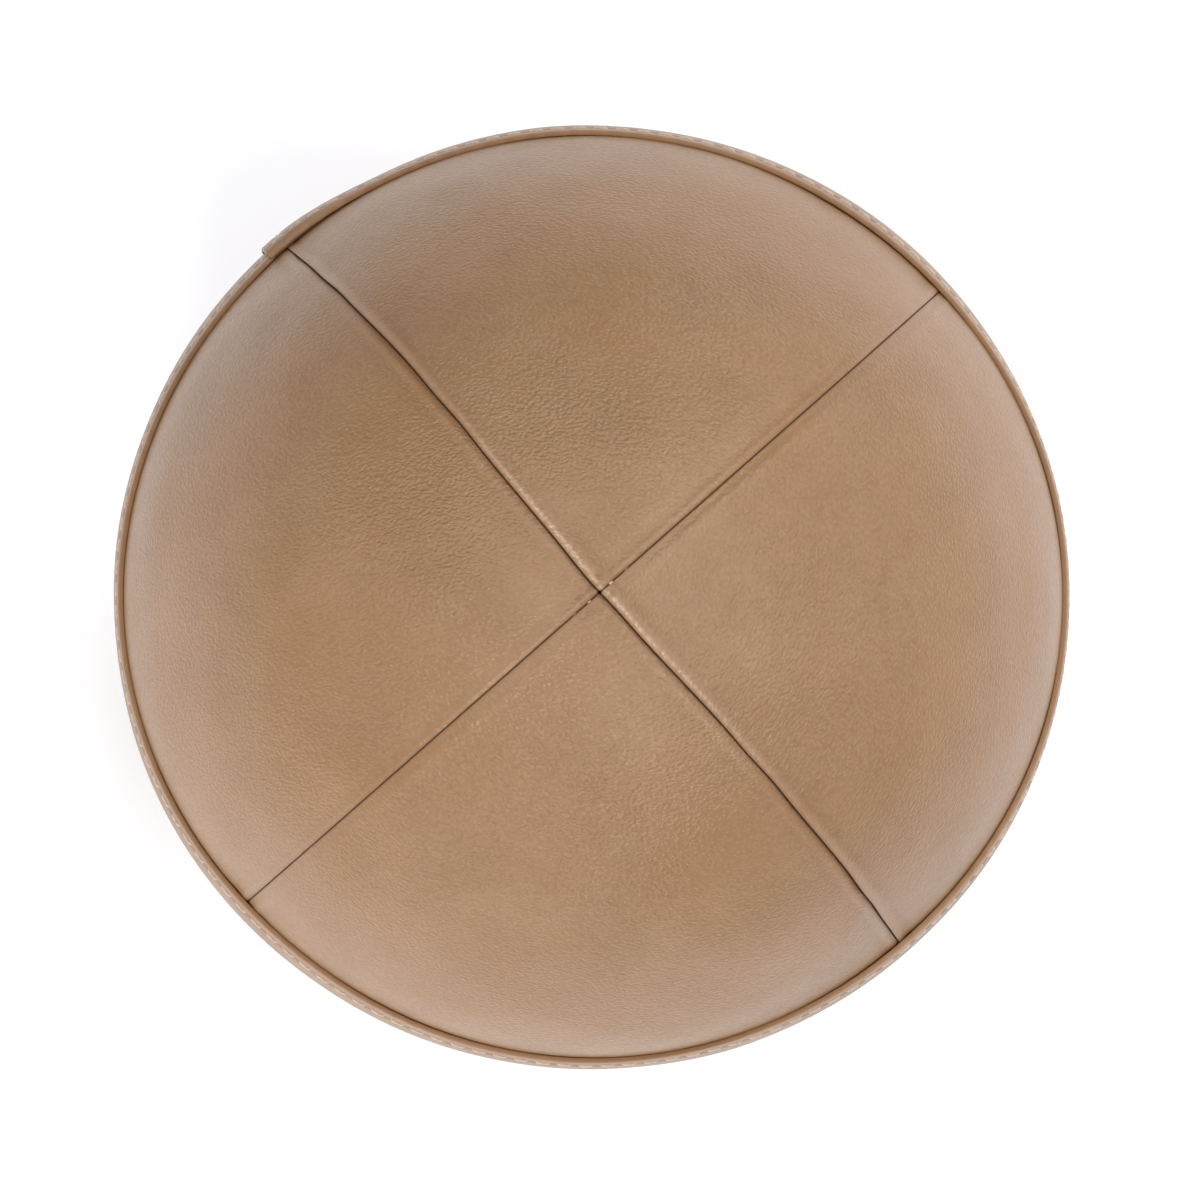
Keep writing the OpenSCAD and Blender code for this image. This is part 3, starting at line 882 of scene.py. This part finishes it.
def seam_place(az, latitude, offset, depth, length):
    """A stitch that runs along a panel seam, beside its plane."""
    normal = heading(az + 90)
    step = 0.4
    d = np.stack([unit(circle_directions(a, np.array([math.radians(az)]), 1)[0]
                       + normal * offset / SKIN_R) for a in (latitude - step, latitude, latitude + step)])
    p = at(d, skin_radius(d, detail=False) - depth)
    outward = normal * np.sign(offset) if offset else p[1] - CENTRE
    return (p[1], p[2] - p[0], outward, length)


def ring_stitch(radius, z, degrees, face):
    """A stitch along a level ring, on the upper or the lower side of its cloth."""
    p = flat_ring(radius, z, np.radians(degrees + np.array([-0.4, 0, 0.4])))
    return (p[1], p[2] - p[0], UP * face, SEAM_STITCH)


def seam_threads(material):
    pitch = math.degrees(SEAM_PITCH / (SKIN_R - SEAM_DEPTH))
    hidden = dict(thickness=0.9 * MM, dive=0.7 * MM)
    for half, sign in HALVES.items():
        places = []
        for az in (45.0, 135.0, 225.0, 315.0):
            for latitude in np.arange(4, 86.5, pitch):
                by_hand = az == HAND_SEWN[0] and HAND_SEWN[1] < sign * latitude < HAND_SEWN[2]
                for face in (-1, 1):
                    if not by_hand:
                        places.append(
                            seam_place(az, sign * latitude, face * FACE_OFF, SEAM_DEPTH, SEAM_STITCH))
        if sign > 0:
            for az in (45.0, 225.0):
                for far in (4.0, 9.5):
                    latitude = 90 - math.degrees(far * MM / SKIN_R)
                    places.append(seam_place(az, latitude, 0, 0.9 * MM, 0.9 * MM))
        node = f"panel_seam_thread_{half}"
        dashes(f"seam_stitches_{half}", "seam_thread", material, node, places, **hidden)
    places = []
    for corner in (45.0, 135.0, 225.0, 315.0):
        for a in np.arange(2.5, 87, pitch):
            for face in (-1, 1):
                places.append(ring_stitch(SKIN_R - SEAM_DEPTH, face * FACE_OFF, corner + a, face))
    dashes("seam_stitches_equator", "seam_thread", material, "equator_seam_thread", places, **hidden)
    places = []
    az, first, last = HAND_SEWN
    for latitude in np.arange(first + 2, last - 1, math.degrees(5 * MM / SKIN_R)):
        middle = seam_place(az, latitude, 0, 2.3 * MM, 0)[0]
        places.append((middle, heading(az + 90), middle - CENTRE, 3.8 * MM))
    dashes("closing_stitches", "seam_thread", material, "closing_thread", places, 1.0 * MM, dive=0.4 * MM)
    bag_threads(material)


def bag_threads(material):
    """The liner bag's machine seam and the whip stitches that close its filling opening."""
    low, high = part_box("liner_bag_upper")
    rim = (high.x - low.x) / 2 - 8 * MM
    opening = 24
    row = rim + 4 * MM
    places = []
    for a in np.arange(opening, 360 - opening, math.degrees(SEAM_PITCH / row)):
        for face in (-1, 1):
            z = face * 0.95 * MM + bag_ripple(math.radians(a)) / 2
            places.append(ring_stitch(row, z, a, face))
    dashes("bag_seam_stitches", "seam_thread", material, "liner_seam_thread", places, 0.8 * MM,
           dive=0.6 * MM)
    places = []
    for a in np.arange(-opening + 2, opening - 1, 4):
        az = math.radians(a)
        z = bag_ripple(az)
        for face in (-1, 1):
            p = flat_ring(rim + 6.9 * MM, z + face * 0.95 * MM, np.array([az]))[0]
            places.append((p, heading(a) + 0.35 * face * heading(a + 90), UP * face, 2.6 * MM))
    dashes("bag_closing_stitches", "seam_thread", material, "liner_closing_thread", places, 0.8 * MM,
           dive=0.9 * MM)


# ---- materials ----

class Nodes:
    """A short way to write a material's nodes."""

    def __init__(self, name):
        self.material = bpy.data.materials.new(name)
        self.material.use_nodes = True
        self.tree = self.material.node_tree
        self.shader = self.tree.nodes["Principled BSDF"]

    def add(self, kind, inputs=None, **settings):
        node = self.tree.nodes.new(kind)
        for key, value in settings.items():
            setattr(node, key, value)
        for key, value in (inputs or {}).items():
            self.put(node.inputs[key], value)
        return node

    def put(self, socket, value):
        if isinstance(value, bpy.types.NodeSocket):
            self.tree.links.new(value, socket)
        else:
            socket.default_value = value

    def attribute(self, name, output):
        return self.add("ShaderNodeAttribute", attribute_name=name).outputs[output]

    def place(self):
        return self.add("ShaderNodeTexCoord").outputs["Object"]

    def math(self, operation, a, b=0.0, clamp=False):
        node = self.add("ShaderNodeMath", operation=operation, use_clamp=clamp)
        self.put(node.inputs[0], a)
        self.put(node.inputs[1], b)
        return node.outputs[0]

    def stretch(self, vector, scale, turn=0.0):
        node = self.add("ShaderNodeMapping", {"Vector": vector, "Scale": scale})
        node.inputs["Rotation"].default_value = (0, 0, math.radians(turn))
        return node.outputs[0]

    def noise(self, vector, scale, detail=2.0, rough=0.5, warp=0.0):
        node = self.add("ShaderNodeTexNoise", {
            "Vector": vector, "Scale": scale, "Detail": detail, "Roughness": rough, "Distortion": warp})
        return node.outputs["Fac"]

    def ramp(self, value, low, high, to_low=0.0, to_high=1.0):
        node = self.add("ShaderNodeMapRange", {
            "Value": value, "From Min": low, "From Max": high, "To Min": to_low, "To Max": to_high})
        return node.outputs["Result"]

    def mix(self, share, a, b, blend="MIX"):
        node = self.add("ShaderNodeMix", data_type="RGBA", blend_type=blend)
        self.put(node.inputs["Factor"], share)
        self.put(node.inputs["A"], a)
        self.put(node.inputs["B"], b)
        return node.outputs["Result"]

    def bump(self, height, distance, strength=1.0, normal=None):
        node = self.add("ShaderNodeBump", {"Height": height, "Distance": distance, "Strength": strength})
        if normal is not None:
            self.put(node.inputs["Normal"], normal)
        return node.outputs["Normal"]

    def finish(self, colour, roughness, normal, **constants):
        self.put(self.shader.inputs["Base Color"], colour)
        self.put(self.shader.inputs["Roughness"], roughness)
        self.put(self.shader.inputs["Normal"], normal)
        for key, value in constants.items():
            self.shader.inputs[key.replace("_", " ")].default_value = value
        return self.material


def rgb(r, g, b):
    return (r, g, b, 1.0)


def panel_leather():
    """Fine leather: pebbles of grain drawn out into short ridges, with painted highlights on their tops and
    painted shade in the creases between them.
    """
    n = Nodes("panel_leather")
    grain = n.attribute("grain", "Vector")
    relief = n.attribute("relief", "Fac")
    seam = n.attribute("seam", "Fac")
    bend = n.add("ShaderNodeTexNoise", {"Vector": grain, "Scale": 0.12, "Detail": 1.0})
    moved = n.add("ShaderNodeVectorMath", {0: bend.outputs["Color"], 1: (2.5, 2.5, 0)},
                  operation="MULTIPLY")
    flow = n.add("ShaderNodeVectorMath", {0: grain, 1: moved.outputs[0]}, operation="ADD").outputs[0]
    laid = n.stretch(flow, (0.70, 1, 1))
    cells = n.add("ShaderNodeTexVoronoi", {"Vector": laid, "Scale": 1.2, "Smoothness": 0.4},
                  feature="SMOOTH_F1")
    pebble = n.ramp(cells.outputs["Distance"], 0.75, 0.05)
    ridge = n.noise(laid, 1.15, 2.0, 0.5, 0.2)
    height = n.math("ADD", n.math("MULTIPLY", pebble, 0.4), n.math("MULTIPLY", ridge, 0.6))
    soft = n.noise(grain, 0.045, 3.0, 0.5)
    broad = n.noise(grain, 0.02, 2.0, 0.5)
    colour = n.mix(n.ramp(soft, 0.35, 0.65), rgb(0.228, 0.124, 0.057), rgb(0.254, 0.142, 0.069))
    colour = n.mix(n.ramp(broad, 0.4, 0.65, 0, 0.5), colour, rgb(0.232, 0.120, 0.050))
    # painted shade: the grain's creases are darkened in the colour, as far as the relief reaches
    painted_crease_shade = n.math("MULTIPLY", n.ramp(height, 0.55, 0.2, 0, 0.25), relief, clamp=True)
    colour = n.mix(painted_crease_shade, colour, rgb(0.11, 0.052, 0.020))
    # painted highlight: the grain's ridge tops are lightened in the colour
    painted_ridge_highlight = n.math("MULTIPLY", n.ramp(height, 0.5, 0.8, 0, 0.08), relief, clamp=True)
    colour = n.mix(painted_ridge_highlight, colour, rgb(0.40, 0.265, 0.165))
    # painted highlight on the main seam's upper lip, broken up by the grain
    painted_lip_highlight = n.attribute("painted_lip_highlight", "Fac")
    painted_lip_glint = n.math("MULTIPLY", painted_lip_highlight, n.ramp(height, 0.3, 0.65, 0.35, 1.0), clamp=True)
    colour = n.mix(painted_lip_glint, colour, rgb(0.52, 0.37, 0.26))
    # painted shade: the leather darkens at the seam's edge and down inside its fold
    colour = n.mix(n.math("MULTIPLY", seam, 0.75, clamp=True), colour, rgb(0.13, 0.06, 0.024))
    roughness = n.ramp(height, 0.2, 0.8, 0.42, 0.30)
    normal = n.bump(height, 0.62 * MM, relief)
    return n.finish(colour, roughness, normal, Specular_IOR_Level=0.5)


def band_leather():
    n = Nodes("band_leather")
    grain = n.attribute("grain", "Vector")
    edge = n.attribute("edge", "Fac")
    pebble = n.noise(n.stretch(grain, (1, 0.6, 0)), 0.9, 2.5, 0.6, 0.4)
    ribs = n.noise(n.stretch(grain, (1.0, 0.1, 0)), 1.6, 1.5, 0.5, 0.1)
    height = n.math("ADD", n.math("MULTIPLY", pebble, 0.7), n.math("MULTIPLY", ribs, edge))
    soft = n.noise(grain, 0.05, 3.0, 0.5)
    colour = n.mix(n.ramp(soft, 0.35, 0.65), rgb(0.225, 0.127, 0.066), rgb(0.28, 0.168, 0.094))
    # painted shade: the band's grain creases are darkened in the colour
    colour = n.mix(n.ramp(height, 0.55, 0.25, 0, 0.35), colour, rgb(0.13, 0.066, 0.03))
    colour = n.mix(n.math("MULTIPLY", edge, 0.8), colour, rgb(0.26, 0.135, 0.06))
    normal = n.bump(height, 0.18 * MM, 0.7)
    return n.finish(colour, n.ramp(height, 0.2, 1.0, 0.5, 0.36), normal, Specular_IOR_Level=0.5)


def thread(name, dark, light):
    n = Nodes(name)
    place = n.place()
    fibres = n.noise(place, 2600, 2.0, 0.6)
    colour = n.mix(fibres, dark, light)
    return n.finish(colour, 0.55, n.bump(fibres, 0.05 * MM, 0.6), Sheen_Weight=0.3)


def woven_canvas(name, dark, light):
    n = Nodes(name)
    place = n.place()
    settings = {"Vector": place, "Scale": 330, "Distortion": 1.2, "Detail": 1.0}
    warp, weft = (n.add("ShaderNodeTexWave", settings, bands_direction=way) for way in "XZ")
    threads = n.math("MAXIMUM", warp.outputs["Fac"], weft.outputs["Fac"])
    soil = n.noise(place, 45, 3.0, 0.6)
    colour = n.mix(threads, dark, light)
    colour = n.mix(n.ramp(soil, 0.45, 0.75, 0, 0.4), colour, dark)
    return n.finish(colour, n.ramp(threads, 0, 1, 0.95, 0.82), n.bump(threads, 0.25 * MM, 0.8),
                    Sheen_Weight=0.3)


def foam():
    n = Nodes("pad_foam")
    place = n.place()
    pores = n.add("ShaderNodeTexVoronoi", {"Vector": place, "Scale": 900}).outputs["Distance"]
    cloud = n.noise(place, 60, 2.0)
    colour = n.mix(cloud, rgb(0.66, 0.60, 0.45), rgb(0.76, 0.71, 0.57))
    # painted shade: the foam's pores are darkened in the colour
    colour = n.mix(n.ramp(pores, 0.6, 0.1, 0, 0.35), colour, rgb(0.5, 0.44, 0.31))
    return n.finish(colour, n.ramp(pores, 0, 0.8, 0.95, 0.85), n.bump(pores, 0.5 * MM, 0.7))


def felted_fibre():
    n = Nodes("textile_fibre")
    place = n.place()
    strands = n.noise(n.stretch(place, (1, 1, 4)), 260, 4.0, 0.7, 3.0)
    tufts = n.noise(place, 50, 3.0, 0.6, 1.0)
    colour = n.mix(strands, rgb(0.16, 0.15, 0.15), rgb(0.42, 0.40, 0.38))
    colour = n.mix(n.ramp(tufts, 0.5, 0.7, 0, 0.5), colour, rgb(0.22, 0.26, 0.33))
    return n.finish(colour, n.ramp(strands, 0, 1, 1.0, 0.85), n.bump(strands, 1.0 * MM, 0.9),
                    Sheen_Weight=0.5)


def sand():
    n = Nodes("sand")
    place = n.place()
    grains = n.add("ShaderNodeTexVoronoi", {"Vector": place, "Scale": 1600})
    shade = n.add("ShaderNodeSeparateColor", {"Color": grains.outputs["Color"]}).outputs["Red"]
    colour = n.mix(shade, rgb(0.36, 0.24, 0.12), rgb(0.68, 0.55, 0.36))
    normal = n.bump(grains.outputs["Distance"], 0.5 * MM, 1.0)
    return n.finish(colour, n.ramp(shade, 0, 1, 0.8, 0.45), normal)


# ---- stage, light and camera ----

def stage():
    mesh = bpy.data.meshes.new("floor")
    size, sides = 7.0, 96
    ring = [(size * math.cos(TAU * i / sides), size * math.sin(TAU * i / sides), -0.0002)
            for i in range(sides)]
    mesh.from_pydata(ring, [], [list(range(sides))])
    floor = bpy.data.objects.new("floor", mesh)
    bpy.context.scene.collection.objects.link(floor)
    n = Nodes("floor")
    place = n.place()
    cloud = n.noise(place, 3.0)
    colour = n.mix(cloud, rgb(0.94, 0.94, 0.94), rgb(0.96, 0.96, 0.96))
    mesh.materials.append(n.finish(colour, 0.9, n.bump(cloud, 0.01 * MM), Specular_IOR_Level=0.2))


def soft_light(name, azimuth_deg, elevation_deg, power, glossy):
    distance = 2.4
    light = bpy.data.lights.new(name, "AREA")
    light.shape = "DISK"
    light.size = 0.6 if glossy else 0.9
    light.energy = power
    light.color = COOL if elevation_deg < COOL_BELOW else (1, 1, 1)
    lamp = bpy.data.objects.new(name, light)
    e = math.radians(elevation_deg)
    away = Vector(heading(azimuth_deg) * math.cos(e)) + Vector((0, 0, math.sin(e)))
    lamp.location = Vector(CENTRE) + away * distance
    lamp.visible_camera = False
    lamp.visible_glossy = glossy
    lamp.rotation_mode = "QUATERNION"
    lamp.rotation_quaternion = (-away).to_track_quat("-Z", "Y")
    bpy.context.scene.collection.objects.link(lamp)


# softboxes round and above the ball: azimuth and elevation in degrees, and power in watts
GLOSS_ELEVATION = 45  # only softboxes this high and higher show in the leather's gloss
COOL, COOL_BELOW = (0.92, 0.97, 1.12), 20  # the lowest ones are slightly blue
STUDIO = [
    (229, 9, 36.0), (266, 9, 3.0), (41, 9, 27.0),
    (176, 25, 4.0), (356, 25, 5.0),
    (176, 45, 8.0), (266, 45, 16.5), (356, 45, 7.0), (41, 45, 11.5),
    (86, 65, 8.0), (150, 65, 9.0), (266, 65, 3.5), (311, 65, 7.5), (356, 65, 8.5),
]


def light_stage():
    world = bpy.data.worlds.new("studio")
    world.use_nodes = True
    background = world.node_tree.nodes["Background"]
    background.inputs["Color"].default_value = (1, 1, 1, 1)
    background.inputs["Strength"].default_value = 0.285
    bpy.context.scene.world = world
    for azimuth_deg, elevation_deg, power in STUDIO:
        glossy = elevation_deg >= GLOSS_ELEVATION
        soft_light(f"softbox_{azimuth_deg}_{elevation_deg}", azimuth_deg, elevation_deg, power, glossy)
    bpy.context.scene.view_settings.view_transform = "Standard"
    bpy.context.scene.view_settings.look = "None"


def camera():
    data = bpy.data.cameras.new("camera")
    data.sensor_width = 36
    data.lens = CAMERA_LENS
    data.clip_start, data.clip_end = 0.05, 50
    cam = bpy.data.objects.new("camera", data)
    bpy.context.scene.collection.objects.link(cam)
    bpy.context.scene.camera = cam
    tilt = math.radians(CAMERA_TILT)
    away = heading(CAMERA_ROLL + TILT_TOWARDS) * math.sin(tilt) + UP * math.cos(tilt)
    place = CENTRE + away * CAMERA_DISTANCE
    right = heading(CAMERA_ROLL)
    aim = CENTRE + right * AIM_RIGHT - np.cross(UP, right) * AIM_DOWN
    back = unit(place - aim)
    right = unit(right - back * (right @ back))
    up = np.cross(back, right)
    axes = Matrix(np.stack([right, up, back], axis=1).tolist()).to_4x4()
    cam.matrix_world = Matrix.Translation(Vector(place)) @ axes


# ---- making it ----

camera()
light_stage()
stage()
SWELL = simulated_swell()
leather_panels(panel_leather())
canvas = woven_canvas("lining_canvas", rgb(0.50, 0.43, 0.32), rgb(0.68, 0.60, 0.47))
layers("canvas_lining", "lining", canvas, "lining_canvas", LINING_DEPTH, LINING_T, 0.3)
layers("foam_pad", "pad", foam(), "pad_foam", PAD_DEPTH, PAD_T, 2.0)
equator_band(band_leather())
band_stitches(thread("topstitch_thread", rgb(0.36, 0.26, 0.18), rgb(0.52, 0.40, 0.30)))
seam_threads(thread("seam_thread", rgb(0.40, 0.26, 0.15), rgb(0.54, 0.38, 0.24)))
bag_canvas = woven_canvas("bag_canvas", rgb(0.46, 0.39, 0.29), rgb(0.63, 0.55, 0.42))
liner_bag(bag_canvas)
fibre_fill(felted_fibre())
cord = thread("tie_cord", rgb(0.42, 0.30, 0.18), rgb(0.60, 0.46, 0.30))
ballast(bag_canvas, sand(), cord)
